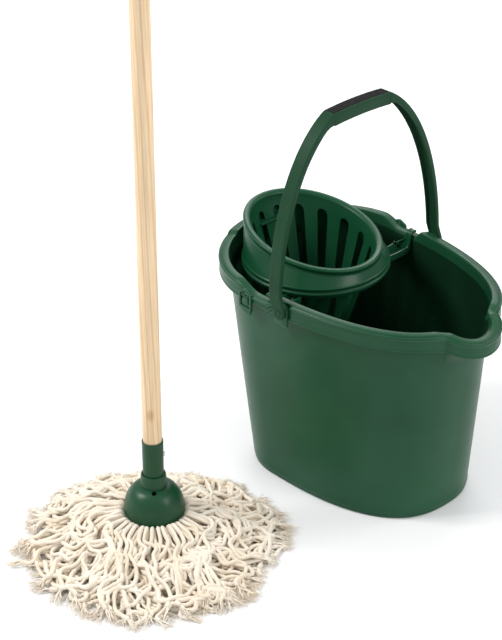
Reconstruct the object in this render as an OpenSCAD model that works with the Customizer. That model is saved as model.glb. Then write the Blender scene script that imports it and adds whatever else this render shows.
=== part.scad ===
// Mop and bucket set: oval bucket with spout, swing bail and hanging cone wringer, beside it a
// cotton string mop on a wooden pole. The origin is on the floor under the bail's pivots, +X runs
// along the bucket towards its spout and +Z is up.

/* [Bucket] */
// Height of the bucket's rim
bucket_h = 267; // [255:1:280]
// Width across the rim
rim_w = 260; // [256:1:264]
// Length of the rim without its spout
rim_l = 370; // [360:1:380]
// Width of the base
base_w = 213; // [200:1:220]
// Length of the base
base_l = 273; // [260:1:285]
// Thickness of the moulded walls
wall = 2.4; // [2:0.1:3]
// Height of the skirt that hangs from the rim
skirt_h = 19; // [16:1:20]
// Width of the pouring spout
spout_w = 68; // [56:1:80]
// How far the spout stands out of the rim
spout_reach = 28; // [20:1:32]

/* [Wringer] */
// Mean radius of the slanted rim
wringer_r = 87; // [84:1:87]
// Slope of the rim, high at the back
wringer_tilt = 9.5; // [8:0.5:10]
// Number of drain slots round the cone
slot_count = 15; // [11:2:15]
// Width of a drain slot at its top
slot_w = 12; // [8:0.5:12]

/* [Bail] */
// Height of the bail above its pivots
bail_h = 223; // [215:1:226]
// Width of the bail's strap
strap_w = 18; // [16:1:19]
// Depth of the bar that is held
bar_depth = 15; // [12:1:16]
// Length of the grip
grip_l = 90; // [70:1:92]

/* [Mop] */
// Diameter of the wooden pole
pole_d = 22.2; // [21:0.1:23]
// Length of the wooden pole
pole_l = 1200; // [900:10:1400]
// Radius of the dome that holds the yarn
dome_r = 35.8; // [34:0.1:38]
// Mean radius of the spread yarn
yarn_r = 142; // [130:1:150]
// Height of the spread yarn beside the dome
yarn_h = 36; // [32:1:38]

/* [Hidden] */

green = [0.13, 0.27, 0.19];
cream = [0.93, 0.89, 0.80];
steel = [0.75, 0.75, 0.76];
eps = 0.5;

// ---- bucket outlines ----
// An outline is [x of its widest place, length behind it, length before it, half width,
// roundness behind, roundness before]: two half superellipses.
belly_x = -0.18 * rim_l;
rim_out = [belly_x, rim_l / 2 + belly_x, rim_l / 2 - belly_x, rim_w / 2, 1.91, 2.47];
base_cx = 17;
base_belly = base_cx - 0.2 * base_l;
base_out = [base_belly, base_belly - base_cx + base_l / 2, base_cx + base_l / 2 - base_belly,
            base_w / 2, 2.24, 2.52];
overhang = 10.5;      // the rim's outer edge stands this far outside the body's wall
rim_in = 12.8;        // the rim's inner edge, in from its outer edge
skirt_t = 2.2;
foot_h = 7;
edge_r = 3;
floor_z = 5;
spout_drop = 45;      // the spout's bulge fades into the wall over this height

// Rim notches, one on each side just behind the pivots
notch_depth = 10;
notch_front = 0;
notch_back = -82;
notch_slope = 7;      // its front side falls over this length
rear_lift = 3;        // the rim's raised rest at the back
rear_half = 54;

bucket_steps = 96;

function mix(a, b, k) = [for (i = [0 : len(a) - 1]) a[i] * (1 - k) + b[i] * k];
function inset(o, d) = [o[0], o[1] - d, o[2] - d, o[3] - d, o[4], o[5]];
function signed_pow(v, p) = sign(v) * pow(abs(v), p);
function bend(u) = let(c = min(1, max(0, u))) c * c * (3 - 2 * c);

// Point of an outline at angle t, with the spout's bulge weighted by k
function outline_point(o, t, k) =
    let(c = cos(t), s = sin(t),
        front = c > 0,
        x = o[0] + (front ? o[2] : o[1]) * signed_pow(c, 2 / (front ? o[5] : o[4])),
        y = o[3] * signed_pow(s, 2 / (front ? o[5] : o[4])),
        half = spout_w / 2,
        bulge = front && abs(y) < half ? spout_reach * k * sqrt(1 - pow(y / half, 2)) : 0)
    [x + bulge, y];

// Angles are spaced so that the spout's narrow front gets enough of them
front_crowding = 13;  // how many degrees the angles are drawn towards the spout
function step_angle(i) = let(u = 360 * i / bucket_steps) u - front_crowding * sin(u) * (1 + cos(u)) / 2;

// How far the rim's top is moved at a place: down in the side notches, up at the back
function rim_shift(p) =
    let(side = abs(p[1]) > 60 ? 1 : 0,
        dip = bend((notch_front - p[0]) / notch_slope) * bend((p[0] - notch_back) / 34),
        rear = p[0] < -100 ? bend((rear_half - abs(p[1])) / 5) : 0)
    rear_lift * rear - notch_depth * dip * side;

function body_outline(z) = mix(base_out, inset(rim_out, overhang), z / bucket_h);
function bulge_at(z) = bend((z - (bucket_h - spout_drop)) / (spout_drop - 8));

// Each ring is [outline, height, weight of the spout, weight of the rim's shift]
top = bucket_h;
function wall_ring(z, d) = [inset(body_outline(z), d), z, bulge_at(z), 0];
bucket_rings = concat(
    [[inset(base_out, edge_r), 0, 0, 0], [inset(base_out, 0.9), 0.9, 0, 0],
     [base_out, edge_r, 0, 0], [base_out, foot_h, 0, 0], [inset(base_out, -0.8), foot_h + 0.8, 0, 0]],
    [for (z = [70, 135, 195, 222, 232, 240, 246]) wall_ring(z, 0)],
    [[inset(rim_out, overhang), top - 8, 1, 0.7],
     [inset(rim_out, overhang - 2), top - 5, 1, 1],
     [inset(rim_out, skirt_t + 1), top - 5.6, 1, 1],
     [inset(rim_out, skirt_t), top - 8, 1, 0.6],
     [inset(rim_out, skirt_t), top - 2 - skirt_h, 1, 0],
     [rim_out, top - 2 - skirt_h, 1, 0],
     [rim_out, top - 12, 1, 0.3],
     [inset(rim_out, 0.4), top - 6, 1, 0.9],
     [inset(rim_out, -0.6), top - 4.5, 1, 1],
     [inset(rim_out, 0.6), top - 2.6, 1, 1],
     [inset(rim_out, 6), top - 1, 1, 1],
     [inset(rim_out, rim_in - 1.8), top, 1, 1],
     [inset(rim_out, rim_in), top - 0.8, 1, 1],
     [inset(rim_out, rim_in + 0.3), top - 5, 1, 0.8]],
    [for (z = [246, 240, 232, 222, 195, 135, 70]) wall_ring(z, wall)],
    [wall_ring(floor_z + 6, wall), [inset(base_out, wall + 2), floor_z + 1.6, 0, 0],
     [inset(base_out, wall + 6), floor_z, 0, 0]]);

function ring_points(r) = [for (i = [0 : bucket_steps - 1])
    let(p = outline_point(r[0], step_angle(i), r[2])) [p[0], p[1], r[1] + r[3] * rim_shift(p)]];

// Closed solid through rings of the same number of points, from the first ring to the last
module loft(rings) {
    n = len(rings[0]);
    last = len(rings) - 1;
    points = [for (r = rings) each r];
    sides = [for (k = [0 : last - 1], i = [0 : n - 1])
        let(j = (i + 1) % n, a = k * n)
        each [[a + i, a + n + i, a + n + j], [a + i, a + n + j, a + j]]];
    first_cap = [for (i = [0 : n - 1]) i];
    last_cap = [for (i = [n - 1 : -1 : 0]) last * n + i];
    polyhedron(points, concat([first_cap], sides, [last_cap]), convexity = 8);
}

// ---- bail and its pivots ----
pivot_z = bucket_h - 11;
leg_in = rim_w / 2 + 0.6;            // inner face of the bail's legs
leg_t = 4.7;                         // depth of a leg at its foot
stud_r = 5;
stud_l = 7;
run_gap = 0.06;                      // radial clearance of running fits
ear_w = 47;
ear_top = bucket_h - 3;
ear_bottom = bucket_h - 31;
ear_y = rim_w / 2 - 1.2;
ear_back = -23;
ear_boss_r = 9;

// Ear: a flat plate on the skirt, tied to the wall by two webs, with the boss for the bail's stud
module ear() {
    body_y = rim_w / 2 - overhang - 1.5;
    translate([ear_back, ear_y - wall, ear_bottom]) cube([ear_w, wall, ear_top - ear_bottom - 8]);
    for (x = [ear_back, ear_back + ear_w - wall])
        translate([x, body_y - 1.5, ear_bottom]) cube([wall, ear_y - body_y + 1, ear_top - ear_bottom - 8]);
    translate([0, body_y - 0.5, pivot_z]) rotate([-90, 0, 0])
        cylinder(r = ear_boss_r, h = ear_y - body_y + 0.5);
}

module bucket() {
    color(green) difference() {
        union() {
            loft([for (r = bucket_rings) ring_points(r)]);
            for (side = [0, 1]) mirror([0, side, 0]) ear();
        }
        for (side = [0, 1]) mirror([0, side, 0])
            translate([0, ear_y - stud_l - 1, pivot_z]) rotate([-90, 0, 0])
                cylinder(r = stud_r + run_gap, h = stud_l + 3);
    }
}

// The bail is a channel, open inwards: a web outside and a flange along each edge. Its outer
// line is a superellipse up each leg and a shallow arch along the bar, as [y, height].
bail_lean = 1.5;                     // it stands this far back from upright
strap_back = 6;                      // the strap stands this far behind its feet's middles
bail_round = 2.1;
bail_span = bail_h + 10;
bail_half = leg_in + leg_t;
bar_half = grip_l / 2 + 1;
bar_drop = 2;
bail_web = 2.2;
pad_sink = 1.6;                      // the grip pad is let this far into the bar
leg_depth_top = 8.5;
leg_steps = 12;
bar_steps = 8;
corner_s = bail_h - bar_drop;
function leg_y(s) = max(bar_half, bail_half * pow(1 - pow(s / bail_span, bail_round), 1 / bail_round));
function bar_s(y) = bail_h - bar_drop * pow(y / bar_half, 2);
function leg_at(s) = [leg_y(s), s];
function unit(v) = v / norm(v);
function leg_inside(s, d) = let(t = unit(leg_at(s + 1) - leg_at(s - 1))) leg_at(s) - [t[1], -t[0]] * d;
function leg_depth(s) = leg_t + (leg_depth_top - leg_t) * pow(s / bail_h, 1.5);
leg_heights = [for (i = [0 : leg_steps]) corner_s * (1 - pow(1 - i / leg_steps, 1.5))];
inner_heights = [for (s = leg_heights) if (s > 1 && s < corner_s - 12) s];

// Closed outline of the bent strap between its outer line and lines inside it
function arch(depth, half) = [for (i = [1 : bar_steps - 1])
    let(y = half * (1 - 2 * i / bar_steps)) [y, bar_s(y) - depth]];
function mirrored(p) = [for (i = [len(p) - 1 : -1 : 0]) [-p[i][0], p[i][1]]];
function outer_line() = let(leg = [for (s = leg_heights) leg_at(s)])
    concat(leg, arch(0, bar_half), mirrored(leg));
function inner_line(depths, bar_in) = let(half = bar_half - 2,
    leg = concat([[bail_half - min(depths[0], leg_t), 0]],
                 [for (i = [0 : len(inner_heights) - 1]) leg_inside(inner_heights[i], depths[i])],
                 [[half, bar_s(half) - bar_in]]))
    concat(leg, arch(bar_in, half), mirrored(leg));
function reversed(p) = [for (i = [len(p) - 1 : -1 : 0]) p[i]];
flange_depths = [for (s = inner_heights) leg_depth(s)];
web_depths = [for (s = inner_heights) bail_web];

module strap_slice(x0, x1, depths, bar_in) {
    rotate([90, 0, 90]) translate([0, 0, x0]) linear_extrude(x1 - x0)
        polygon(concat(outer_line(), reversed(inner_line(depths, bar_in))));
}

// Region from the bar's recess up to a line along its top
pad_half_x = strap_w / 2 - 1.6;
module pad_slice(half_x, half_y, top_line) {
    rotate([90, 0, 90]) translate([0, 0, -half_x]) linear_extrude(2 * half_x)
        polygon(concat(top_line, [for (i = [0 : bar_steps]) let(y = half_y * (2 * i / bar_steps - 1))
            [y, bar_s(y) - pad_sink]]));
}

module at_bail() {
    translate([0, 0, pivot_z]) rotate([0, -bail_lean, 0]) children();
}

module bail() {
    edge = strap_w / 2;
    half = grip_l / 2;
    above = bail_h + 5;
    color(green) at_bail() difference() {
        union() {
            translate([-strap_back, 0, 0]) {
                strap_slice(-edge, edge, web_depths, bail_web + pad_sink);
                strap_slice(-edge, -edge + bail_web, flange_depths, bar_depth);
                strap_slice(edge - bail_web, edge, flange_depths, bar_depth);
            }
            for (side = [-1, 1]) {
                translate([0, side * (leg_in + leg_t / 2), 0]) rotate([90, 0, 0])
                    cylinder(r = edge, h = leg_t, center = true);
                translate([0, side * (leg_in - stud_l / 2 + eps), 0]) rotate([90, 0, 0])
                    cylinder(r = stud_r, h = stud_l + 2 * eps, center = true);
            }
        }
        translate([-strap_back, 0, 0]) pad_slice(pad_half_x, half, [[half, above], [-half, above]]);
    }
}

// Grip: a pad let into the bar's top, with rounded ribs across it
pad_half_y = grip_l / 2 - 0.05;
rib_count = 25;
rib_h = 0.9;
rib_steps = 6;
pad_top = [for (i = [0 : rib_count * rib_steps])
    let(y = pad_half_y * (1 - 2 * i / rib_count / rib_steps))
    [y, bar_s(y) + rib_h * pow(sin(180 * i / rib_steps), 2)]];
module bail_grip() {
    color([0.06, 0.06, 0.06]) at_bail() translate([-strap_back, 0, 0])
        pad_slice(pad_half_x - 0.05, pad_half_y, pad_top);
}

// ---- wringer ----
// A ring of the wringer is [x of its middle, half length, half width, height, slope].
cone_x = -78;
rim_x = -81;
rim_z = bucket_h + 20;
rim_flat = 8;
rim_long = wringer_r + 6;            // the rim is longer than it is wide
rim_wide = wringer_r - 9.5;
band_x = -75;
band_r = 90;
band_z = bucket_h - 21;              // the lower of the band's two lips
band_low = band_z - 8;
cone_bottom_z = bucket_h - 128;
cone_bottom_r = 34;
knee_z = bucket_h - 16;              // the cone turns upright here
knee_r = 67;
arm_front = -24;
arm_back = -42;
arm_end = rim_w / 2 - 6;
arm_lip_z = bucket_h - notch_depth + 0.6;   // the hook's underside, on the rim's notch
arm_z = band_z - 10.5;               // underside of the arm's plate
arm_t = 3;
riser_w = 9;
riser_y = 113.5;                     // outer face of the upright part, inside the bucket's wall
wringer_steps = 72;

function slant(d, lift) = [rim_x, rim_long - d, rim_wide - d, rim_z + lift, wringer_tilt];
function level(x, r, z) = [x, r, r, z, 0];
wringer_rings = [
    // up the cone's outside and under the rim
    level(cone_x, cone_bottom_r + wall, cone_bottom_z),
    level(cone_x, knee_r + wall, knee_z),
    slant(rim_flat + 1.5 - wall, -9), slant(rim_flat + 1.5 - wall, -wall - 0.8),
    slant(1.2 + wall, -wall - 0.6), slant(1.2 + wall, -5),
    // down inside the skirt to the band
    level(band_x, band_r - 1.2 - wall, band_z + 9), level(band_x, band_r - 2 - wall, band_low),
    // up the band's two lips and the skirt's outside
    level(band_x, band_r - 2, band_low), level(band_x, band_r - 2, band_z - 0.6),
    level(band_x, band_r + 0.8, band_z), level(band_x, band_r + 0.8, band_z + 2.6),
    level(band_x, band_r - 1.2, band_z + 3.4), level(band_x, band_r - 1.4, band_z + 5.6),
    level(band_x, band_r, band_z + 6.4), level(band_x, band_r, band_z + 8.4),
    level(band_x, band_r - 1.2, band_z + 9),
    // over the rim and down the cone's inside
    slant(1.2, -4.2), slant(0.1, -3.4), slant(0, -1.4), slant(1, 0), slant(3, 0.6),
    slant(rim_flat - 0.8, 0), slant(rim_flat + 0.2, -1.2), slant(rim_flat + 1.5, -9),
    level(cone_x, knee_r, knee_z),
    level(cone_x, cone_bottom_r, cone_bottom_z + wall)];

function wringer_points(r) = [for (i = [0 : wringer_steps - 1])
    let(t = 360 * i / wringer_steps)
    [r[0] + r[1] * cos(t) * cos(r[4]), r[2] * sin(t), r[3] - r[1] * cos(t) * sin(r[4])]];

// One drain slot: round top, narrowing downwards, cut outwards from the cone's axis
module slot(angle) {
    top_z = rim_z - 0.85 * rim_long * cos(angle) * sin(wringer_tilt) - 21;
    low_z = cone_bottom_z + 14;
    low_r = slot_w / 3;
    translate([cone_x, 0, 0]) rotate([90, 0, angle + 90]) translate([0, 0, 14]) {
        linear_extrude(knee_r - 2) {
            translate([0, top_z]) circle(r = slot_w / 2, $fn = 24);
            translate([0, low_z]) circle(r = low_r, $fn = 24);
            polygon([[-low_r, low_z], [low_r, low_z], [slot_w / 2, top_z], [-slot_w / 2, top_z]]);
        }
    }
}

// Arm: a plate from the skirt's foot, an upright against the wall and a hook over the rim's notch
module arm() {
    wide = arm_front - arm_back;
    start = 72;
    high = arm_lip_z + arm_t - arm_z;
    translate([arm_back, start, arm_z]) cube([wide, riser_y - start, arm_t]);
    translate([arm_front - riser_w, riser_y - arm_t, arm_z]) cube([riser_w, arm_t, high]);
    translate([arm_front - riser_w, riser_y - arm_t, arm_lip_z])
        cube([riser_w, arm_end - riser_y + arm_t, arm_t]);
    translate([arm_front - wall, start, arm_z]) cube([wall, riser_y - start, 8]);
    translate([arm_back, start, arm_z]) cube([wall, riser_y - start - 4, 13]);
}

module wringer() {
    color(green) difference() {
        union() {
            loft([for (r = wringer_rings) wringer_points(r)]);
            for (side = [0, 1]) mirror([0, side, 0]) arm();
            translate([-rim_l / 2 + 4, -18, bucket_h + rear_lift + 0.4]) cube([22, 36, arm_t]);
        }
        for (i = [0 : slot_count - 1]) slot(360 / slot_count * i);
        translate([cone_x, 0, cone_bottom_z - 2 * wall]) for (i = [0 : 5]) rotate([0, 0, 60 * i])
            translate([cone_bottom_r * 0.55, 0, 0]) cylinder(r = 5, h = 4 * wall);
    }
}

// ---- mop ----
mop_at = [-47, -288, 0];
sleeve_r = 12.4;
sleeve_top = 127.5;
neck_top = 81.5;
neck_bottom = 67.5;
neck_r = 14.9;
neck_base_r = 15.9;
dome_lip_z = 24;
dome_wide_z = 31;
septum_z = 52;
pole_z = 88;
plate_r = 26;
plate_z = 17;
plate_t = 3;
post_r = 6;
screw_r = 2;
stem_z = septum_z + 3.2;
sleeve_screw_z = 108;
screw_side = 140;                    // the sleeve's screw faces away from the bucket's front
vent_at = [14.6, -11.6];

module pole() {
    r = pole_d / 2;
    round_r = 5;
    color([0.88, 0.73, 0.52]) translate(mop_at + [0, 0, pole_z]) difference() {
        rotate_extrude($fn = 64) union() {
            square([r - round_r, pole_l]);
            translate([0, 1]) square([r, pole_l - round_r - 1]);
            translate([r - round_r, pole_l - round_r]) intersection() {
                circle(r = round_r, $fn = 48);
                square(round_r);
            }
        }
        translate([0, 0, sleeve_screw_z - pole_z]) rotate([90, 0, screw_side])
            translate([0, 0, r - 9]) cylinder(r = 1.4, h = 20, $fn = 24);
    }
}

module sleeve() {
    bore = pole_d / 2 + 0.02;
    color(green) translate(mop_at) difference() {
        translate([0, 0, stem_z]) cylinder(r = sleeve_r, h = sleeve_top - stem_z, $fn = 96);
        translate([0, 0, pole_z]) cylinder(r = bore, h = 100, $fn = 96);
        translate([0, 0, stem_z - 1]) cylinder(r = 8.5, h = pole_z - stem_z - 2, $fn = 64);
        translate([0, 0, sleeve_screw_z]) rotate([90, 0, screw_side]) cylinder(r = 1.6, h = 40, $fn = 24);
    }
}

module sleeve_screw() {
    color(steel) translate(mop_at + [0, 0, sleeve_screw_z]) rotate([90, 0, screw_side])
        translate([0, 0, pole_d / 2 - 8]) {
            cylinder(r = 1.4, h = sleeve_r - pole_d / 2 + 8.4, $fn = 24);
            translate([0, 0, sleeve_r - pole_d / 2 + 8.2]) difference() {
                cylinder(r1 = 3.2, r2 = 2.2, h = 1.6, $fn = 32);
                translate([0, 0, 1.4]) cube([4.2, 0.8, 1.2], center = true);
            }
        }
}

// Dome: revolved shell with a straight neck, a septum under the neck and a middle screw post
module socket() {
    neck_bore = sleeve_r + 0.08;
    pilot_r = screw_r - 0.4;
    pilot_top = septum_z - 6;
    post_z = plate_z + plate_t;
    color(green) translate(mop_at) difference() {
        rotate_extrude($fn = 96) polygon(concat(
            [[0, pilot_top], [0, stem_z], [neck_bore, stem_z], [neck_bore, neck_top], [neck_r, neck_top],
             [neck_base_r, neck_bottom]],
            [for (a = [75 : -15 : 0]) dome_point(a, 0)],
            [[dome_r - 0.9, dome_lip_z], [dome_r - 0.9 - wall, dome_lip_z]],
            [for (a = [0 : 15 : 60]) dome_point(a, wall)],
            [[14, septum_z], [post_r, septum_z], [post_r, post_z], [pilot_r, post_z],
             [pilot_r, pilot_top]]));
        translate([vent_at[0], vent_at[1], septum_z + 1]) cylinder(r = 3.2, h = 30, $fn = 32);
    }
}
// Point of the dome's shell at an angle up from its widest place, inset by d
function dome_point(a, d) = [neck_base_r + (dome_r - neck_base_r - d) * cos(a) - (a > 70 ? d : 0),
                             dome_wide_z + (neck_bottom - 4 - dome_wide_z - d) * sin(a)];

module yarn_plate() {
    color(green) translate(mop_at + [0, 0, plate_z]) difference() {
        cylinder(r = plate_r, h = plate_t, $fn = 96);
        translate([0, 0, -eps]) cylinder(r = screw_r + 0.1, h = plate_t + 1, $fn = 32);
    }
}

module plate_screws() {
    color(steel) translate(mop_at) {
        translate([0, 0, plate_z - 0.1]) cylinder(r = screw_r - 0.42, h = 18, $fn = 32);
        translate([0, 0, plate_z - 2]) difference() {
            cylinder(r = 4, h = 2, $fn = 32);
            translate([0, 0, 0.3]) cube([5.4, 1, 1.4], center = true);
        }
    }
}

// One hank of yarn: clamped between plate and dome, out under the dome's lip, then down to the floor
hank_angle = 360 / 12;
hank_gap = 0.6;
spread_to = -42.8;                   // the yarn is spread farther to this side
spread_more = 33;
module yarn(i) {
    reach = yarn_r + spread_more * cos((i + 0.5) * hank_angle - spread_to);
    high = yarn_h - 3 * pow(sin(i * 131), 2);
    clamp_z = plate_z + plate_t + 0.2;
    lip_low = dome_lip_z - 0.5;
    color(cream) translate(mop_at) rotate([0, 0, i * hank_angle + hank_gap / 2])
        rotate_extrude(angle = hank_angle - hank_gap, $fn = 96)
            polygon([[9, 0], [reach - 6, 0], [reach, 3], [reach - 2, 10], [reach - 22, 0.62 * high],
                     [reach - 60, 0.86 * high], [62, high], [46, high - 1], [dome_r + 2.2, high - 6],
                     [dome_r + 1.2, lip_low], [dome_r - 5, lip_low], [dome_r - 6, lip_low + 3],
                     [14, lip_low + 4], [14, clamp_z], [plate_r + 0.6, clamp_z],
                     [plate_r + 0.6, plate_z - 0.6], [9, plate_z - 0.6]]);
}

bucket();
wringer();
bail();
bail_grip();
pole();
sleeve();
sleeve_screw();
socket();
yarn_plate();
plate_screws();
yarn(0);  // yarn_01
yarn(1);  // yarn_02
yarn(2);  // yarn_03
yarn(3);  // yarn_04
yarn(4);  // yarn_05
yarn(5);  // yarn_06
yarn(6);  // yarn_07
yarn(7);  // yarn_08
yarn(8);  // yarn_09
yarn(9);  // yarn_10
yarn(10);  // yarn_11
yarn(11);  // yarn_12
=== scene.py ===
import math

import bmesh
import bpy
import numpy as np
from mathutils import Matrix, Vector


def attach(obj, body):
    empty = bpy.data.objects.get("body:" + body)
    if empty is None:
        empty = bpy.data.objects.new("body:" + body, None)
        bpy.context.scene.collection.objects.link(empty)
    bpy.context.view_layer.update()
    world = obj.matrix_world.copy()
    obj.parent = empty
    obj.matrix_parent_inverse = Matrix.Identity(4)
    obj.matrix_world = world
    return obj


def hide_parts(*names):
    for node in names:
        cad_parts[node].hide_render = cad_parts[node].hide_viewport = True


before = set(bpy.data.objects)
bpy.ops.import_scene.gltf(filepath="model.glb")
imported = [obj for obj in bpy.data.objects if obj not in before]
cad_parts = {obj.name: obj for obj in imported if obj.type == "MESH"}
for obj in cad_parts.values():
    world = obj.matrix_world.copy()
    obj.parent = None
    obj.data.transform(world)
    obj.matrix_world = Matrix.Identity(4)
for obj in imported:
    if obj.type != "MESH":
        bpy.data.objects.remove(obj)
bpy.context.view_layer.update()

# Lengths are in millimetres, and MM takes them to Blender's metres.
MM = 0.001
SIDES = ((-1, "near"), (1, "far"))          # the bucket's side towards the mop, and the other one
MOP = np.array([-47.0, -288.0, 0.0])        # the floor straight below the pole
scene = bpy.context.scene


# ------------------------------------------------------------------ mesh helpers
def add_mesh(name, verts, faces, mats, smooth=True, face_mat=None):
    """A mesh object from points in millimetres and faces of any size."""
    me = bpy.data.meshes.new(name)
    sizes = np.array([len(f) for f in faces], dtype=np.int32)
    fill_mesh(me, np.asarray(verts, dtype=np.float64) * MM, np.concatenate(faces), sizes)
    return finish_mesh(name, me, mats, smooth, face_mat)


def fill_mesh(me, verts, loops, sizes):
    """Fills a mesh from points in metres, the faces' point numbers and the faces' sizes."""
    starts = np.concatenate([[0], np.cumsum(sizes)[:-1]]).astype(np.int32)
    me.vertices.add(len(verts))
    me.vertices.foreach_set("co", verts.astype(np.float32).ravel())
    me.loops.add(len(loops))
    me.loops.foreach_set("vertex_index", loops.astype(np.int32))
    me.polygons.add(len(sizes))
    me.polygons.foreach_set("loop_start", starts)
    me.update(calc_edges=True)
    me.validate()


def finish_mesh(name, me, mats, smooth=True, face_mat=None, uv=None):
    """Gives a mesh its materials and shading, and puts it in the scene."""
    for m in mats if isinstance(mats, (list, tuple)) else [mats]:
        me.materials.append(m)
    if face_mat is not None:
        me.polygons.foreach_set("material_index", np.asarray(face_mat, dtype=np.int32))
    if uv is not None:
        layer = me.uv_layers.new(name="UVMap")
        layer.data.foreach_set("uv", np.asarray(uv, dtype=np.float32).ravel())
    if smooth:
        me.polygons.foreach_set("use_smooth", np.ones(len(me.polygons), dtype=bool))
    ob = bpy.data.objects.new(name, me)
    scene.collection.objects.link(ob)
    return ob


def ring_quads(n_rings, n, closed=True, offset=0):
    """Quads that join n_rings rings of n points each."""
    k = np.arange(n_rings - 1)[:, None] * n
    i = np.arange(n if closed else n - 1)[None, :]
    j = (i + 1) % n
    return np.stack([k + i, k + j, k + n + j, k + n + i], -1).reshape(-1, 4) + offset


def modifier(ob, kind, **settings):
    m = ob.modifiers.new(kind.lower(), kind)
    for k, v in settings.items():
        setattr(m, k, v)


def bake_modifiers(ob):
    """Applies an object's modifiers to its mesh."""
    dg = bpy.context.evaluated_depsgraph_get()
    me = bpy.data.meshes.new_from_object(ob.evaluated_get(dg))
    ob.modifiers.clear()
    ob.data = me


def bevel_edges(ob, width, angle):
    """Rounds the edges sharper than angle (degrees)."""
    modifier(ob, "BEVEL", width=width * MM, segments=2, limit_method="ANGLE", angle_limit=math.radians(angle))
    bake_modifiers(ob)


def edit_mesh(me, change):
    """Runs change on an editable copy of a mesh and writes it back."""
    bm = bmesh.new()
    bm.from_mesh(me)
    change(bm)
    bm.to_mesh(me)
    bm.free()


def weld(me, dist=1e-7):
    """Joins points closer than dist (metres) and makes the faces' directions agree."""
    def change(bm):
        bmesh.ops.remove_doubles(bm, verts=bm.verts, dist=dist)
        bmesh.ops.recalc_face_normals(bm, faces=bm.faces)
    edit_mesh(me, change)


def auto_smooth(ob, angle):
    """Keeps edges sharper than angle (degrees) sharp."""
    def change(bm):
        for e in bm.edges:
            e.smooth = not (len(e.link_faces) == 2 and e.calc_face_angle(0) > math.radians(angle))
    edit_mesh(ob.data, change)
    return ob


def loft(name, rings, mat):
    """A solid through closed rings of equal length, with flat ends."""
    n = len(rings[0])
    last = (len(rings) - 1) * n
    ends = [list(range(n))[::-1], list(range(last, last + n))]
    ob = add_mesh(name, np.array(rings).reshape(-1, 3), ring_quads(len(rings), n).tolist() + ends, mat)
    weld(ob.data)
    return ob


def mirror(points):
    return [(-x, y) for x, y in points]


def lathe(name, profile, at, mat, steps=128, side=0):
    """A turned surface through [radius, height] points, closed where it starts or ends on the axis.

    The axis is Z, or with side -1 or 1 it points outwards along Y on that side.
    """
    t = 2 * math.pi * np.arange(steps) / steps
    verts, faces, rings = [], [], []
    for r, z in profile:
        n = 1 if r < 1e-6 else steps
        rings.append([len(verts) + i % n for i in range(steps)])
        verts += [[r * math.cos(a), r * math.sin(a), z] for a in t[:n]]
    for a, b in zip(rings[:-1], rings[1:]):
        for i in range(steps):
            j = (i + 1) % steps
            # a ring on the axis is one point, so its faces are triangles
            faces.append(list(dict.fromkeys([a[i], a[j], b[j], b[i]])))
    p = np.array(verts)
    if side:
        p = np.column_stack([p[:, 0], side * p[:, 2], -side * p[:, 1]])
    ob = add_mesh(name, p + at, faces, mat)
    if side:
        weld(ob.data)
    return ob


def corner(a, b, c, radius, steps):
    """Points round the corner b of the line a, b, c."""
    u, v = a - b, c - b
    lu, lv = np.linalg.norm(u), np.linalg.norm(v)
    d = min(radius, lu * 0.45, lv * 0.45)
    s, e = b + u / lu * d, b + v / lv * d
    return [(1 - w) ** 2 * s + 2 * w * (1 - w) * b + w * w * e for w in np.linspace(0, 1, steps + 1)]


def rounded(points, radius):
    """Rounds the corners of an open [radius, height] line."""
    p = np.asarray(points, float)
    inner = [q for a, b, c in zip(p[:-2], p[1:-1], p[2:]) for q in corner(a, b, c, radius, 4)]
    return [p[0]] + inner + [p[-1]]


def rounded_polygon(points, radius, steps=5):
    """Rounds the corners of a closed outline."""
    p = np.asarray(points, float)
    n = len(p)
    return [tuple(q) for i in range(n) for q in corner(p[i - 1], p[i], p[(i + 1) % n], radius, steps)]


def dense(loop, step=2.0):
    """Adds points along the sides of a loop, about step apart."""
    out = []
    for a, b in zip(loop, loop[1:] + loop[:1]):
        n = max(1, int(math.dist(a, b) / step))
        out += [(a[0] + (b[0] - a[0]) * k / n, a[1] + (b[1] - a[1]) * k / n) for k in range(n)]
    return out


def smooth_line(points, per):
    """Catmull-Rom through points."""
    p = np.array([points[0]] + list(points) + [points[-1]], float)
    out = []
    for a, b, c, d in zip(p[:-3], p[1:-2], p[2:-1], p[3:]):
        for k in range(per):
            t = k / per
            out.append(0.5 * (2 * b + (c - a) * t + (2 * a - 5 * b + 4 * c - d) * t ** 2
                              + (3 * b - a - 3 * c + d) * t ** 3))
    out.append(p[-2])
    return out


def plate(name, loops, depth, bevel, mat, at):
    """A flat plate with rounded edges from an outer loop and hole loops, mapped by at(u, v, w)."""
    cu = bpy.data.curves.new(name, "CURVE")
    cu.dimensions = "2D"
    cu.fill_mode = "BOTH"
    cu.extrude = max(depth / 2 - bevel, 0.01)
    cu.bevel_depth = bevel
    cu.offset = -bevel
    cu.bevel_resolution = 3
    for loop in loops:
        sp = cu.splines.new("POLY")
        sp.points.add(len(loop) - 1)
        for pt, (u, v) in zip(sp.points, loop):
            pt.co = (u, v, 0, 1)
        sp.use_cyclic_u = True
    tmp = bpy.data.objects.new(name + "_curve", cu)
    scene.collection.objects.link(tmp)
    dg = bpy.context.evaluated_depsgraph_get()
    dg.update()
    me = bpy.data.meshes.new_from_object(tmp.evaluated_get(dg))
    bpy.data.objects.remove(tmp)
    bpy.data.curves.remove(cu)
    co = np.zeros(len(me.vertices) * 3)
    me.vertices.foreach_get("co", co)
    moved = np.array([at(*c) for c in co.reshape(-1, 3)]) * MM
    me.vertices.foreach_set("co", moved.astype(np.float32).ravel())
    me.materials.clear()
    weld(me, 1e-6)
    return finish_mesh(name, me, mat)


def place(ob, body, replaces=()):
    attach(ob, body)
    if replaces:
        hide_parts(*replaces)
    return ob


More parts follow.
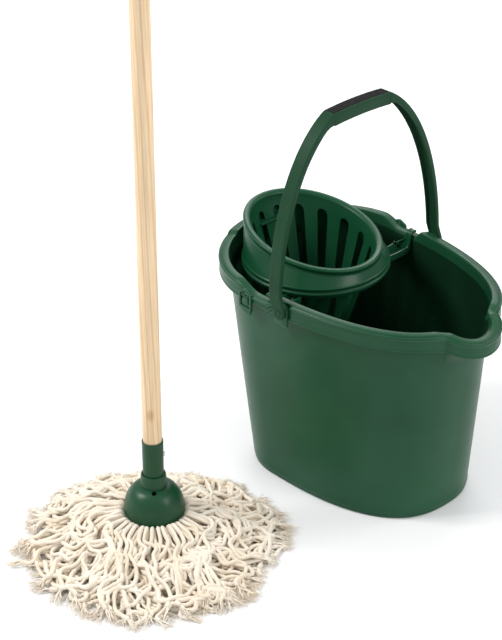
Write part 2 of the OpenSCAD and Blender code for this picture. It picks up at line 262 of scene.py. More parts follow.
# ------------------------------------------------------------------ shader helpers
def new_material(name):
    m = bpy.data.materials.new(name)
    m.use_nodes = True
    return m, m.node_tree


def feed(nt, socket, value):
    """Links a socket to another node's output, or sets its value."""
    if isinstance(value, bpy.types.NodeSocket):
        nt.links.new(value, socket)
    else:
        socket.default_value = value


def node(nt, kind, inputs, **settings):
    """A node with its settings, and its inputs by name or number."""
    n = nt.nodes.new(kind)
    for k, v in settings.items():
        setattr(n, k, v)
    for k, v in inputs.items():
        feed(nt, n.inputs[k], v)
    return n


def surface(m, inputs):
    """Feeds the inputs of a material's shader and returns the material."""
    shader = m.node_tree.nodes["Principled BSDF"]
    for k, v in inputs.items():
        feed(m.node_tree, shader.inputs[k], v)
    return m


def rgba(colour):
    """Three values, or one grey, as a colour with full alpha."""
    return (*map(float, np.broadcast_to(colour, 3)), 1.0)


def ramp(nt, source, stops):
    """Colours between stops of (position, colour or grey)."""
    r = node(nt, "ShaderNodeValToRGB", {"Fac": source})
    el = r.color_ramp.elements
    for e, (pos, col) in zip(el, (stops[0], stops[-1])):
        e.position = pos
        e.color = rgba(col)
    for pos, col in stops[1:-1]:
        el.new(pos).color = rgba(col)
    return r.outputs["Color"]


def coords(nt, scale=(1, 1, 1), turn=(0, 0, 0), source="Object"):
    """Texture coordinates, turned and stretched."""
    tc = node(nt, "ShaderNodeTexCoord", {})
    mp = node(nt, "ShaderNodeMapping", {"Vector": tc.outputs[source], "Rotation": turn, "Scale": scale})
    return mp.outputs["Vector"]


def noise(nt, where, scale, detail, rough=0.5, distortion=0.0):
    n = node(nt, "ShaderNodeTexNoise", {"Vector": where, "Scale": scale, "Detail": detail,
                                        "Roughness": rough, "Distortion": distortion})
    return n.outputs["Fac"]


def mix(nt, blend, factor, a, b):
    """Two colours blended. The node's colour inputs are numbers 6 and 7, and its colour output is 2."""
    n = node(nt, "ShaderNodeMix", {"Factor": factor}, data_type="RGBA", blend_type=blend)
    feed(nt, n.inputs[6], a)
    feed(nt, n.inputs[7], b)
    return n.outputs[2]


def calc(nt, operation, *values):
    return node(nt, "ShaderNodeMath", dict(enumerate(values)), operation=operation).outputs[0]


def bump(nt, height, strength, distance, over=None):
    """A normal bumped by a height, over another bumped normal if one is given."""
    inputs = {"Height": height, "Strength": strength, "Distance": distance}
    if over is not None:
        inputs["Normal"] = over
    return node(nt, "ShaderNodeBump", inputs).outputs["Normal"]


# ------------------------------------------------------------------ materials
def plastic(name, colour, rough, grain=0.02, scuffs=0.5, shine=0.30):
    """Moulded polypropylene: uneven gloss, a fine orange-peel surface, faint scuffs."""
    m, nt = new_material(name)
    c = np.array(colour)
    tint = 0.12
    clouds = noise(nt, coords(nt), 9.0, 3.0, 0.55)
    base = ramp(nt, clouds, [(0.3, c * (1 - tint)), (0.7, c * (1 + tint) + 0.004)])
    # long thin scuffs in two directions
    directions = (((5, 34, 90), (0.5, 0.4, 0.9)), ((60, 6, 26), (0.3, -0.7, -0.4)))
    marks = [ramp(nt, noise(nt, coords(nt, scale, turn), 1.0, 4.0, 0.6, 0.4), [(0.62, 0), (0.78, 1)])
             for scale, turn in directions]
    scuffed = calc(nt, "MULTIPLY", mix(nt, "LIGHTEN", 1.0, *marks), scuffs)
    paler = calc(nt, "MULTIPLY", scuffed, 0.22)
    # roughness: cloudy, higher in the scuffs
    cloudy = node(nt, "ShaderNodeMapRange", {"Value": noise(nt, coords(nt), 38.0, 5.0, 0.65),
                                             "To Min": rough - 0.06, "To Max": rough + 0.08})
    # bump: fine orange peel under broad waves
    peel = bump(nt, noise(nt, coords(nt), 420.0, 3.0, 0.6), 0.12, grain * 0.01)
    return surface(m, {"Base Color": mix(nt, "MIX", paler, base, rgba(c * 1.5 + 0.02)),
                       "Roughness": calc(nt, "MULTIPLY_ADD", scuffed, 0.18, cloudy.outputs[0]),
                       "Normal": bump(nt, clouds, 0.10, 0.002, peel),
                       "IOR": 1.49, "Specular IOR Level": shine})


def rubber():
    m, nt = new_material("black_grip")
    speckle = noise(nt, coords(nt), 240.0, 4.0)
    return surface(m, {"Base Color": ramp(nt, speckle, [(0.3, 0.003), (0.75, 0.009)]),
                       "Roughness": ramp(nt, speckle, [(0.3, 0.46), (0.7, 0.62)]),
                       "Normal": bump(nt, speckle, 0.3, 0.0003), "Specular IOR Level": 0.12})


def pine():
    """Straight-grained pale pine with fine pores and one small knot."""
    m, nt = new_material("pine")
    along = coords(nt, (1, 1, 0.035))
    grain = noise(nt, along, 420.0, 6.0, 0.62, 0.3)
    bands = node(nt, "ShaderNodeTexWave", {"Vector": along, "Scale": 70.0, "Distortion": 3.5, "Detail": 3.0,
                                           "Detail Scale": 1.4}, wave_type="BANDS", bands_direction="DIAGONAL")
    wood = ramp(nt, bands.outputs["Fac"], [(0.0, (0.80, 0.60, 0.375)), (0.55, (0.845, 0.655, 0.43)),
                                           (1.0, (0.72, 0.50, 0.285))])
    pores = ramp(nt, grain, [(0.30, (0.70, 0.66, 0.62)), (0.62, 1)])
    # knot: a dark oval that fades with the distance from KNOT, which lies just outside the pole
    tc = node(nt, "ShaderNodeTexCoord", {})
    away = node(nt, "ShaderNodeMapping", {"Vector": tc.outputs["Object"], "Location": KNOT,
                                          "Scale": (1, 1, 1.6)}, vector_type="TEXTURE")
    far = node(nt, "ShaderNodeVectorMath", {0: away.outputs["Vector"]}, operation="LENGTH")
    wavy = calc(nt, "MULTIPLY_ADD", noise(nt, along, 60.0, 2.0), 0.0015, far.outputs["Value"])
    knot = ramp(nt, wavy, [(0.0012, (0.30, 0.16, 0.07)), (0.0030, (0.62, 0.42, 0.24)), (0.0065, 1)])
    plain = mix(nt, "MULTIPLY", 0.55, wood, pores)
    return surface(m, {"Base Color": mix(nt, "MULTIPLY", 0.8, plain, knot),
                       "Roughness": ramp(nt, grain, [(0.3, 0.62), (0.7, 0.5)]),
                       "Normal": bump(nt, grain, 0.25, 0.0003)})


def steel():
    m, nt = new_material("zinc_steel")
    streaks = noise(nt, coords(nt, (1, 1, 0.2)), 300.0, 4.0)
    return surface(m, {"Base Color": ramp(nt, streaks, [(0.3, (0.55, 0.55, 0.56)), (0.7, (0.78, 0.78, 0.79))]),
                       "Roughness": ramp(nt, streaks, [(0.3, 0.42), (0.7, 0.28)]), "Metallic": 1.0})


def cotton():
    """Plied cotton: the twist runs along the strand's own coordinates, with loose fibre noise."""
    m, nt = new_material("cotton")
    cloud = noise(nt, coords(nt), 26.0, 3.0)
    fuzz = noise(nt, coords(nt), 900.0, 4.0, 0.7)
    twist = noise(nt, coords(nt, (9.0, 900.0, 1.0), source="UV"), 1.0, 3.0, 0.6)
    base = ramp(nt, cloud, [(0.3, (0.80, 0.69, 0.54)), (0.5, (0.86, 0.77, 0.64)), (0.72, (0.90, 0.835, 0.73))])
    # painted shade: the colour darkens where the twist's bump is low, in the grooves between the plies
    groove_shade = ramp(nt, twist, [(0.3, (0.80, 0.76, 0.70)), (0.6, 1)])
    return surface(m, {"Base Color": mix(nt, "MULTIPLY", 0.35, base, groove_shade),
                       "Roughness": ramp(nt, fuzz, [(0.3, 0.95), (0.7, 0.8)]),
                       "Normal": bump(nt, fuzz, 0.35, 0.0005, bump(nt, twist, 0.5, 0.0006)),
                       "Specular IOR Level": 0.15, "Sheen Weight": 0.25, "Sheen Roughness": 0.6})


KNOT = tuple((MOP + [9.5, -10.5, 167.5]) * MM)
GREEN = plastic("green_plastic", (0.0085, 0.064, 0.027), 0.33, shine=0.21)
GREEN_BASKET = plastic("green_basket", (0.0042, 0.057, 0.022), 0.29, scuffs=0.3, shine=0.20)
STRAP = plastic("green_strap", (0.010, 0.047, 0.021), 0.44, grain=0.05, scuffs=0.6, shine=0.10)
# a darker copy of the green for the bucket's inner wall and floor: painted shade, the darkness inside the
# bucket painted into its colour
SHADED_INSIDE = plastic("green_inside_painted_shade", (0.0025, 0.025, 0.0095), 0.42, scuffs=0.3, shine=0.2)
DOME = plastic("green_dome", (0.007, 0.056, 0.022), 0.36, scuffs=0.3)
RUBBER = rubber()
PINE = pine()
STEEL = steel()
COTTON = cotton()


# ------------------------------------------------------------------ bucket
H = 267.0
RIM_W, RIM_L = 260.0, 370.0
BASE_W, BASE_L, BASE_X = 213.0, 273.0, 17.0         # the base's middle is BASE_X in front of the rim's
WALL, OVERHANG, RIM_IN, SKIRT_H = 2.4, 10.5, 12.8, 19.0
SPOUT_HALF, SPOUT_REACH, SPOUT_DROP = 37.0, 21.5, 45.0
PIVOT_Z = H - 11
FLOOR_Z = 5.0
UNDER_Z = 1.5
POCKET = (1.0, 10.5)         # x of the recess beside each pivot
FINE, COLS = 4000, 330       # points along the rim: while it is shaped, and about as many as the mesh has
FRONT_X, SIDE_Y = 60, 60     # past these, a rim point is at the spout's end, or on a long side


def bend(u):
    """A soft step from 0 to 1."""
    c = np.clip(u, 0, 1)
    return c * c * (3 - 2 * c)


def outline(middle, belly, length, width, n_rear, n_front):
    """An oval: x of its widest place, reach to the rear and front, half width, and both ends' exponents."""
    rear, front = belly - middle + length / 2, middle + length / 2 - belly
    return np.array([belly, rear, front, width / 2, n_rear, n_front])


RIM_OUT = outline(0.0, -0.18 * RIM_L, RIM_L, RIM_W, 1.91, 2.47)
BASE_OUT = outline(BASE_X, BASE_X - 0.2 * BASE_L, BASE_L, BASE_W, 2.24, 2.52)


def inset(o, d):
    return o - np.array([0, d, d, d, 0, 0])


def outline_points(o, t):
    """Points of an outline at the angles t."""
    c, s = np.cos(t), np.sin(t)
    front = c > 0
    n = np.where(front, o[5], o[4])
    x = o[0] + np.where(front, o[2], o[1]) * np.sign(c) * np.abs(c) ** (2 / n)
    y = o[3] * np.sign(s) * np.abs(s) ** (2 / n)
    return np.stack([x, y], -1)


def across_spout(y, half):
    """1 in the spout's middle, 0 from half outwards."""
    return np.clip(1 - (np.abs(y) / half) ** 2, 0, 1)


def smooth_closed(values, sigma):
    """Gaussian smoothing of a closed line."""
    f = np.fft.fftfreq(len(values))
    w = np.exp(-2 * (math.pi * f * sigma) ** 2)[:, None]
    return np.real(np.fft.ifft(np.fft.fft(values, axis=0) * w, axis=0))


def arc_lengths(points):
    """Lengths along a closed line, from 0 to all of it."""
    sides = np.linalg.norm(np.roll(points, -1, 0) - points, axis=1)
    return np.concatenate([[0], np.cumsum(sides)])


def evenly(arc, values, count):
    """Values at even distances along arc."""
    return np.interp(np.linspace(0, arc[-1], count, endpoint=False), arc, values)


# even spacing along the middle of the rim, then the spout's bulge
steps = np.arange(FINE + 1)
once = 2 * math.pi * steps / FINE
plain_rim = inset(RIM_OUT, RIM_IN / 2)
even = evenly(arc_lengths(outline_points(plain_rim, once[:-1])), once, FINE)
bulged = outline_points(plain_rim, even)
reach = SPOUT_REACH * across_spout(bulged[:, 1], SPOUT_HALF) ** 0.5
bulged[:, 0] += np.where(bulged[:, 0] > FRONT_X, reach, 0)
# evenly again, because the bulge stretches its sides, and softened where it meets the rim
bulged_arc = arc_lengths(bulged)
spots = evenly(bulged_arc, steps, FINE)
bulged = np.stack([np.interp(spots, steps, np.append(bulged[:, k], bulged[0, k])) for k in (0, 1)], -1)
angles = np.interp(spots, steps, np.append(even, 2 * math.pi))
MID = smooth_closed(bulged, 4.2 / (bulged_arc[-1] / FINE))
tangent = np.roll(MID, -1, 0) - np.roll(MID, 1, 0)
tangent /= np.linalg.norm(tangent, axis=1)[:, None]
NORMAL = np.stack([tangent[:, 1], -tangent[:, 0]], -1)      # points outwards


def rim_index(x, sgn):
    """The rim point nearest to x on one long side."""
    idx = np.where(MID[:, 1] * sgn > SIDE_Y)[0]
    return idx[np.argmin(np.abs(MID[idx, 0] - x))]


# columns: even, denser at the spout's corners, with exact ones at the pivots' recesses
weight = 1 + 1.6 * np.exp(-((np.abs(MID[:, 1]) - SPOUT_HALF) / 9) ** 2) * (MID[:, 0] > 100)
picks = evenly(np.concatenate([[0], np.cumsum(weight)]), steps, COLS)
special = [float(rim_index(x, sgn)) for sgn in (1, -1)
           for x in (POCKET[0] - 0.5, POCKET[0], POCKET[1], POCKET[1] + 0.5)]
picks = np.sort([p for p in picks if min(abs(p - q) for q in special) > 2.2] + special)
N = len(picks)
col = picks.astype(int) % FINE
T_COL = angles[col]
MID_C, NRM_C = MID[col], NORMAL[col]


def rim_shift(p):
    """How far the rim rises at the rear and dips behind the pivots."""
    side = np.abs(p[:, 1]) > SIDE_Y
    dip = bend((-10 - p[:, 0]) / 12) * bend((p[:, 0] + 82) / 34)
    rear = np.where(p[:, 0] < -100, bend((54 - np.abs(p[:, 1])) / 5), 0)
    return 3 * rear - 10 * dip * side


def lip_dip(p):
    """The pouring lip hangs lower towards its tip."""
    near = bend((SPOUT_HALF + 16 - np.abs(p[:, 1])) / 18)
    return -np.where(p[:, 0] > FRONT_X, 3.5 * near + 8.0 * across_spout(p[:, 1], SPOUT_HALF - 1) ** 0.8, 0)


def rim_line(d):
    """The rim's columns, d in from its outer edge."""
    return MID_C + NRM_C * (RIM_IN / 2 - d)


def rim_rings(profile):
    """Rings from (distance in from the rim's outer edge, drop below its top, share of rim_shift)."""
    return [np.column_stack([rim_line(d), H - drop + share * rim_shift(MID_C) + lip_dip(MID_C)])
            for d, drop, share in profile]


def wall_ring(z, d):
    """The wall at height z, d inside its outer face."""
    k = z / H
    p = outline_points(inset(BASE_OUT * (1 - k) + inset(RIM_OUT, OVERHANG) * k, d), T_COL)
    k = float(bend((z - (H - SPOUT_DROP - 6)) / (SPOUT_DROP - 2)))
    q = across_spout(p[:, 1], SPOUT_HALF - 3)
    p[:, 0] += np.where(p[:, 0] > FRONT_X, SPOUT_REACH * k * (0.75 * q ** 0.5 + 0.25 * q), 0)
    return np.column_stack([p, np.full(N, float(z))])


def base_rings(profile):
    """Rings from (distance inside the base's outline, height)."""
    return [np.column_stack([outline_points(inset(BASE_OUT, d), T_COL), np.full(N, float(z))])
            for d, z in profile]


def bucket_shell():
    """One closed shell: under the base, up the wall, over the rim and down the inside to the floor."""
    rings = base_rings([(60, UNDER_Z), (14, UNDER_Z), (11, 1.3), (9.5, 0.2), (4.2, 0), (1.6, 0.5), (0.4, 1.6),
                        (0, 3), (0, 6.2), (-0.25, 7.0), (-0.9, 7.5), (-1.0, 8.2)])
    rings += [wall_ring(z, 0) for z in (12, *range(20, 181, 20), 195, 205, 212, *range(218, 254, 5))]
    # under the rim and round the skirt's lower edge
    rings += rim_rings([(OVERHANG, 8.5, 0.7), (OVERHANG - 1.2, 6.4, 0.9), (OVERHANG - 3, 5.6, 1),
                        (3.6, 5.6, 1), (2.5, 6.4, 1), (2.3, 9, 0.6), (2.3, SKIRT_H, 0.1),
                        (2.0, SKIRT_H + 1.7, 0),
                        (1.3, SKIRT_H + 2.1, 0), (0.4, SKIRT_H + 1.9, 0), (-0.15, SKIRT_H + 1.0, 0),
                        (-0.15, SKIRT_H - 0.4, 0), (0.3, SKIRT_H - 1.2, 0.05)])
    pocket_from = len(rings)
    # the skirt's face and the bead above it
    rings += rim_rings([(0.3, 17.3, 0.1), (0.25, 16.8, 0.15), (0.2, 13, 0.3), (0.3, 9, 0.7), (0.5, 7.4, 0.85),
                        (0.45, 6.9, 0.9), (-0.1, 5.6, 0.95), (-0.6, 4.8, 1), (-0.9, 3.9, 1), (-0.8, 3.0, 1),
                        (-0.3, 2.3, 1), (0.4, 2.0, 1), (1.1, 2.1, 1), (1.5, 2.6, 1), (2.0, 2.65, 1),
                        (2.5, 2.0, 1)])
    pocket_to = len(rings)
    # over the top
    rings += rim_rings([(3.1, 1.3, 1), (5.0, 0.8, 1), (7.5, 0.4, 1), (9.6, 0.1, 1), (10.7, 0.1, 1),
                        (11.6, 0.5, 1), (12.15, 1.4, 1), (12.4, 3, 0.9), (12.8, 6, 0.7)])
    # from here on the faces are the inside, which gets the darker green of painted shade
    shade_from = len(rings)
    rings += [wall_ring(z, WALL) for z in (*range(253, 217, -5), 212, 205, 195, *range(180, 29, -30), 16)]
    rings += base_rings([(WALL - 0.6, 11.5), (WALL + 0.6, 8.2), (WALL + 3, 6.0), (WALL + 7, FLOOR_Z),
                         (60, FLOOR_Z)])
    # recess beside each pivot, where the rim's bead and skirt are cut away
    x, y = MID_C.T
    in_pocket = (np.abs(y) > SIDE_Y) & (x > POCKET[0] - 0.26) & (x < POCKET[1] + 0.26)
    for ring in rings[pocket_from:pocket_to]:
        ring[in_pocket, :2] = rim_line(OVERHANG - 1.5)[in_pocket]
    rings[pocket_from][in_pocket, :2] = rim_line(1.5)[in_pocket]
    quads = ring_quads(len(rings), N).tolist()
    low = len(rings) * N                     # the middle of the underside, and of the floor after it
    last = low - N
    middle = BASE_OUT[0] + 30
    verts = np.vstack(rings + [[middle, 0, UNDER_Z], [middle, 0, FLOOR_Z]])
    quads += [[low, (i + 1) % N, i] for i in range(N)]
    quads += [[low + 1, last + i, last + (i + 1) % N] for i in range(N)]
    # the inner wall and floor get the darker green (painted shade); the underside keeps the plain green
    shaded_faces = [int(k >= shade_from) for k in range(len(rings) - 1) for _ in range(N)]
    return add_mesh("bucket_shell", verts, quads, [GREEN, SHADED_INSIDE], face_mat=shaded_faces + [0] * N + [1] * N)


def skirt_plate(name, loops, depth, bevel, sgn, out):
    """A plate that follows the rim's skirt, its middle out millimetres off the skirt's face."""
    def at(u, v, w):
        i = rim_index(u, sgn)
        return *(MID[i] + NORMAL[i] * (RIM_IN / 2 + w + out)), v
    return plate(name, [dense(loop) for loop in loops], depth, bevel, GREEN, at)


def ears():
    """On each side the pivot's plate, gusset and boss, and the moulded clip behind them."""
    made = []
    face = RIM_W / 2 - 0.9
    for sgn, tag in SIDES:
        shape = rounded_polygon([(-12, 236.5), (9.0, 236.5), (9.0, 262.5), (-12, 262.0)], 3.5)
        made.append(plate("ear_plate_" + tag, [shape], 3.0, 0.7, GREEN,
                          lambda u, v, w: (u, sgn * (face - 1.5 + w), v)))
        rib = rounded_polygon([(-30.5, 241.2), (-28.2, 240.6), (-11.5, 256.5), (-12.5, 258.8)], 0.8, 3)
        made.append(skirt_plate("gusset_" + tag, [rib], 2.6, 0.6, sgn, -0.2))
        boss = rounded([(0, -9), (8.6, -9), (8.6, 0.8), (5.4, 0.8), (5.2, -6), (0, -6)], 0.6)
        made.append(lathe("pivot_boss_" + tag, boss, (0, sgn * (face - 0.2), PIVOT_Z), GREEN, 64, sgn))
        made += clip(tag, sgn)
    return made


def clip(tag, sgn):
    """A frame with a tongue and two ridges in it, and a lug below."""
    outer = rounded_polygon([(-69, 236), (-48.5, 234), (-48.5, 257.5), (-60, 262.5), (-69, 258)], 2.5, 4)
    hole = rounded_polygon([(-66.2, 256), (-60, 259), (-51.5, 255), (-51.5, 238), (-66.2, 239.5)], 1.5, 4)
    tongue = rounded_polygon([(-63, 241.5), (-54.5, 241), (-54.5, 250), (-63, 251)], 1.2, 4)
    lug = rounded_polygon([(-66, 230.5), (-52, 228.5), (-50, 238), (-67, 238)], 3, 5)
    made = [skirt_plate("clip_frame_" + tag, [outer, hole], 3.4, 0.6, sgn, 0.9),
            skirt_plate("clip_tongue_" + tag, [tongue], 2.0, 0.6, sgn, 0.8)]
    for k, z in enumerate((253.4, 256.6)):
        ridge = rounded_polygon([(-65.5, z - 0.9), (-52, z - 1.9), (-52, z - 0.3), (-65.5, z + 0.7)], 0.6, 3)
        made.append(skirt_plate(f"clip_ridge_{k}_" + tag, [ridge], 2.6, 0.6, sgn, 1.1))
    return made + [skirt_plate("clip_lug_" + tag, [lug], 3.0, 1.0, sgn, -0.6)]


# ------------------------------------------------------------------ bail
BAIL_H, STRAP_W, BAR_DEPTH, GRIP_L = 223.0, 18.0, 15.0, 90.0
LEG_IN, LEG_T = RIM_W / 2 + 0.6, 4.7
LEG_OUT = LEG_IN + LEG_T
LEAN = math.radians(1.5)
STRAP_BACK = 6.0
BAR_HALF = GRIP_L / 2 + 1
CORNER_S = BAIL_H - 2        # s is the distance up the bail from its pivots


def leg_y(s):
    return LEG_OUT * (1 - (s / (BAIL_H + 10)) ** 2.1) ** (1 / 2.1)


def bar_s(y):
    return BAIL_H - 2 * (y / BAR_HALF) ** 2


def at_bail(x, y, s):
    """From the strap's own place to the frame's."""
    c, n = math.cos(LEAN), math.sin(LEAN)
    x = x - STRAP_BACK * float(bend(s / 22))
    return x * c - s * n, y, PIVOT_Z + s * c + x * n


def bail_strap():
    """The strap from the far pivot over the bar to the near one: a channel, open on its inner side."""
    half = STRAP_W / 2
    stations = []                      # y, s, inward y, inward s, depth, web, half width, pad
    for s in (-9.0, -8.85, -8.4, -7.6, -6.6, -5.2, -3.6, -1.8, 0.0):
        w = math.sqrt(max(0.0, 1 - (s / 9) ** 2)) * half
        stations.append([LEG_OUT, s, -1, 0, LEG_T, LEG_T - 0.2, max(w, 0.5), 0])
    heights = CORNER_S * (1 - (1 - np.linspace(0, 1, 46)[1:]) ** 1.35)
    for s in heights[heights <= CORNER_S - 11]:
        dy = (leg_y(s + 0.5) - leg_y(max(s - 0.5, 0))) / min(1.0, s + 0.5)
        t = np.array([dy, 1.0]) / math.hypot(dy, 1)
        web = 2.2 + (LEG_T - 2.4) * max(0.0, 1 - s / 9) ** 2
        stations.append([leg_y(s), s, -t[1], t[0], LEG_T + 3.5 * s / BAIL_H, web, half, 0])
    # round the corner, then along the bar with the grip's recess
    for below, y_in, s_in, depth, web in ((7, -0.62, -0.78, 9.6, 2.4), (1.6, -0.42, -0.91, 13.0, 3.0)):
        stations.append([leg_y(CORNER_S - below), CORNER_S - below, y_in, s_in, depth, web, half, 0])
    stations.append([BAR_HALF - 0.6, CORNER_S + 0.2, -0.12, -0.99, BAR_DEPTH - 0.4, 3.8, half, 0])
    pad_end = GRIP_L / 2
    for y in [pad_end + 0.15, pad_end - 0.1] + list(np.linspace(pad_end - 1, 0, 14)):
        stations.append([y, bar_s(y), 0, -1, BAR_DEPTH, 3.8, half, 1.6 if y < pad_end else 0])
    stations += [[-q[0], q[1], -q[2], q[3]] + q[4:] for q in stations[-2::-1]]
    pad_x, inner = half - 1.6, half - 2.2
    rings = []
    for y, s, y_in, s_in, depth, web, width, pad in stations:
        top = [(9, 1.3), (8.85, 0.6), (8.5, 0.2), (7.9, 0), (pad_x + 0.05, 0), (pad_x, pad), (3.5, pad)]
        low = [(9, depth - 0.6), (8.8, depth - 0.15), (8.4, depth), (7.4, depth), (inner + 0.1, depth - 0.2),
               (inner, depth - 0.6), (inner, web + 0.9), (inner - 0.3, web + 0.3), (inner - 0.9, web)]
        section = mirror(top) + [(0, pad)] + top[::-1] + low + [(0, web)] + mirror(low)[::-1]
        rings.append([at_bail(x * width / half, y + y_in * v, s + s_in * v) for x, v in section])
    return auto_smooth(loft("bail_strap", rings, STRAP), 42)


def bail_studs():
    stud = rounded([(0, -12), (5.0, -12), (5.0, -0.5), (4.6, 0.75), (3.4, 0.9), (2.9, 0.35), (0, 0.35)], 0.4)
    return [lathe("bail_stud_" + tag, stud, (0, sgn * LEG_OUT, PIVOT_Z), STRAP, 64, sgn) for sgn, tag in SIDES]


def bail_pad():
    """The ribbed grip in the bar's recess."""
    half, px = GRIP_L / 2 - 0.08, STRAP_W / 2 - 1.66
    ribs, per = 25, 10
    rings = []
    for i, y in enumerate(np.linspace(half, -half, ribs * per + 1)):
        crest = 0.95 * math.sin((i % per) / per * math.pi) ** 1.4 - 0.15
        edge = min(1.0, (half - abs(y)) / 0.6)
        top = bar_s(y) + crest * edge - 0.3 * (1 - edge)
        side = [(px, bar_s(y) - 1.55), (px, top - 0.75), (px - 0.25, top - 0.3), (px - 0.8, top - 0.05),
                (px - 2, top + 0.08), (2, top + 0.22)]
        rings.append([at_bail(x, y, s) for x, s in mirror(side) + side[::-1]])
    return auto_smooth(loft("bail_pad", rings, RUBBER), 55)


# ------------------------------------------------------------------ wringer
CONE_X, RIM_X, RIM_Z = -78.0, -81.0, H + 20
TILT = math.radians(9.5)
RIM_LONG, RIM_WIDE = 93.0, 77.5
BAND_X, BAND_R, BAND_Z = -75.0, 90.0, H - 21
CONE_LOW_Z, CONE_LOW_R = H - 128, 34.0
SLOTS = 15
CAP, PER_SIDE = 10, 30        # mesh steps round a slot's end and up its side
ARM_FRONT, ARM_BACK, ARM_T = -24.0, -42.0, 2.3


def slant_ring(d, lift, theta):
    """A ring parallel to the tilted rim, d inside its outline and lift above it."""
    a, b = RIM_LONG - d, RIM_WIDE - d
    x = RIM_X + a * np.cos(theta) * math.cos(TILT) + lift * math.sin(TILT)
    z = RIM_Z + lift * math.cos(TILT) - a * np.cos(theta) * math.sin(TILT)
    return np.stack([x, b * np.sin(theta), z], -1)


def level_ring(cx, r, z, theta):
    return np.stack([cx + r * np.cos(theta), r * np.sin(theta), np.full_like(theta, z)], -1)


def cone_point(theta, v):
    """The basket's inner face from its floor (v = 0) to the rim's inner edge (v = 1)."""
    low = level_ring(CONE_X, CONE_LOW_R, CONE_LOW_Z, theta)
    top = slant_ring(8.6, -1.6, theta)
    under = slant_ring(10.4, -7.0, theta)
    points = [low, low + (under - low) * 0.5, low + (under - low) * 0.85, under, top]
    return hermite(points, np.array([0.0, 0.48, 0.82, 0.96, 1.0]), np.asarray(v, float)[..., None])


def hermite(points, at, v):
    """A smooth curve through points at the places at, read at v."""
    gaps = np.diff(at)
    chords = [(b - a) / h for a, b, h in zip(points[:-1], points[1:], gaps)]
    slopes = [(c * k + d * h) / (h + k) for c, d, h, k in zip(chords[:-1], chords[1:], gaps[:-1], gaps[1:])]
    slopes = [chords[0]] + slopes + [chords[-1]]
    out = 0.0
    for i, h in enumerate(gaps):
        u = np.clip((v - at[i]) / h, 0, 1)
        here = (2 * u ** 3 - 3 * u ** 2 + 1) * points[i] + (u ** 3 - 2 * u ** 2 + u) * h * slopes[i]
        there = (3 * u ** 2 - 2 * u ** 3) * points[i + 1] + (u ** 3 - u ** 2) * h * slopes[i + 1]
        inside = (v >= at[i]) & ((v < at[i + 1]) | (i == len(gaps) - 1))
        out = np.where(inside, here + there, out)
    return out


def once_round(half_top, half_low, v_top, v_low, across, rise_top=0.0, rise_low=0.0):
    """A closed cell in (angle, v): top end, left side, bottom end, right side; the ends may bow out."""
    bow = np.sin(math.pi * np.arange(CAP + 1) / CAP)
    f = np.arange(1, PER_SIDE) / PER_SIDE
    return np.concatenate([np.column_stack(part) for part in (
        (half_top * across, v_top + rise_top * bow),
        (-(half_top + (half_low - half_top) * f), v_top + (v_low - v_top) * f),
        (-half_low * across, v_low - rise_low * bow),
        (half_low + (half_top - half_low) * f, v_low + (v_top - v_low) * f))])


def wringer_basket():
    """The cone with its slots as one sheet, thickened outwards."""
    sector = 2 * math.pi / SLOTS
    half_top, half_low = 0.215 * sector, 0.205 * sector
    cone_long, r_top, r_low = 150.0, 70.0, 40.0      # these turn a slot's half width into a rise in v
    ends = np.arange(CAP + 1) / CAP
    slot = once_round(half_top, half_low, 0.865, 0.10, np.cos(math.pi * ends),
                      half_top * r_top / cone_long, half_low * r_low / cone_long)
    # matching points on the sector's box, in the same order
    box_low, box_top = 0.03, 0.985
    box = once_round(sector / 2, sector / 2, box_top, box_low, 1 - 2 * ends)
    bottom = box[CAP + PER_SIDE:2 * CAP + PER_SIDE + 1, 0]
    floor = np.array([CONE_X, 0, CONE_LOW_Z - 1.2])
    verts, faces = [], []

    def add_rows(rows, closed):
        start = sum(len(row) for row in verts)
        faces.extend(ring_quads(len(rows), len(rows[0]), closed, start).tolist())
        verts.extend(rows)

    for mid in sector * np.arange(SLOTS):
        cells = [slot * (1 - w) + box * w for w in (0.0, 0.08, 0.25, 0.5, 0.75, 1.0)]
        add_rows([cone_point(mid + q[:, 0], q[:, 1]) for q in cells], True)
        # strips above and below the box, and the floor's edge
        add_rows([cone_point(mid + box[:CAP + 1, 0], v) for v in (box_top, 1.0)], False)
        foot = cone_point(mid + bottom, 0.0)
        add_rows([cone_point(mid + bottom, box_low), foot]
                 + [floor + (foot - floor) * [share, share, 0] for share in (0.82, 0.6)], False)
    ob = add_mesh("wringer_basket", np.concatenate(verts), faces, GREEN_BASKET)
    weld(ob.data, 2e-5)

    def face_axis(bm):
        f = min(bm.faces, key=lambda q: abs(q.calc_center_median().z - 0.2))
        c = f.calc_center_median()
        if Vector((CONE_X * MM - c.x, -c.y, 0)).dot(f.normal) <= 0:
            bmesh.ops.reverse_faces(bm, faces=bm.faces)

    edit_mesh(ob.data, face_axis)
    modifier(ob, "SOLIDIFY", thickness=WALL * MM, offset=-1.0, use_even_offset=True, use_quality_normals=True)
    bevel_edges(ob, 0.55, 50)
    return auto_smooth(ob, 50)


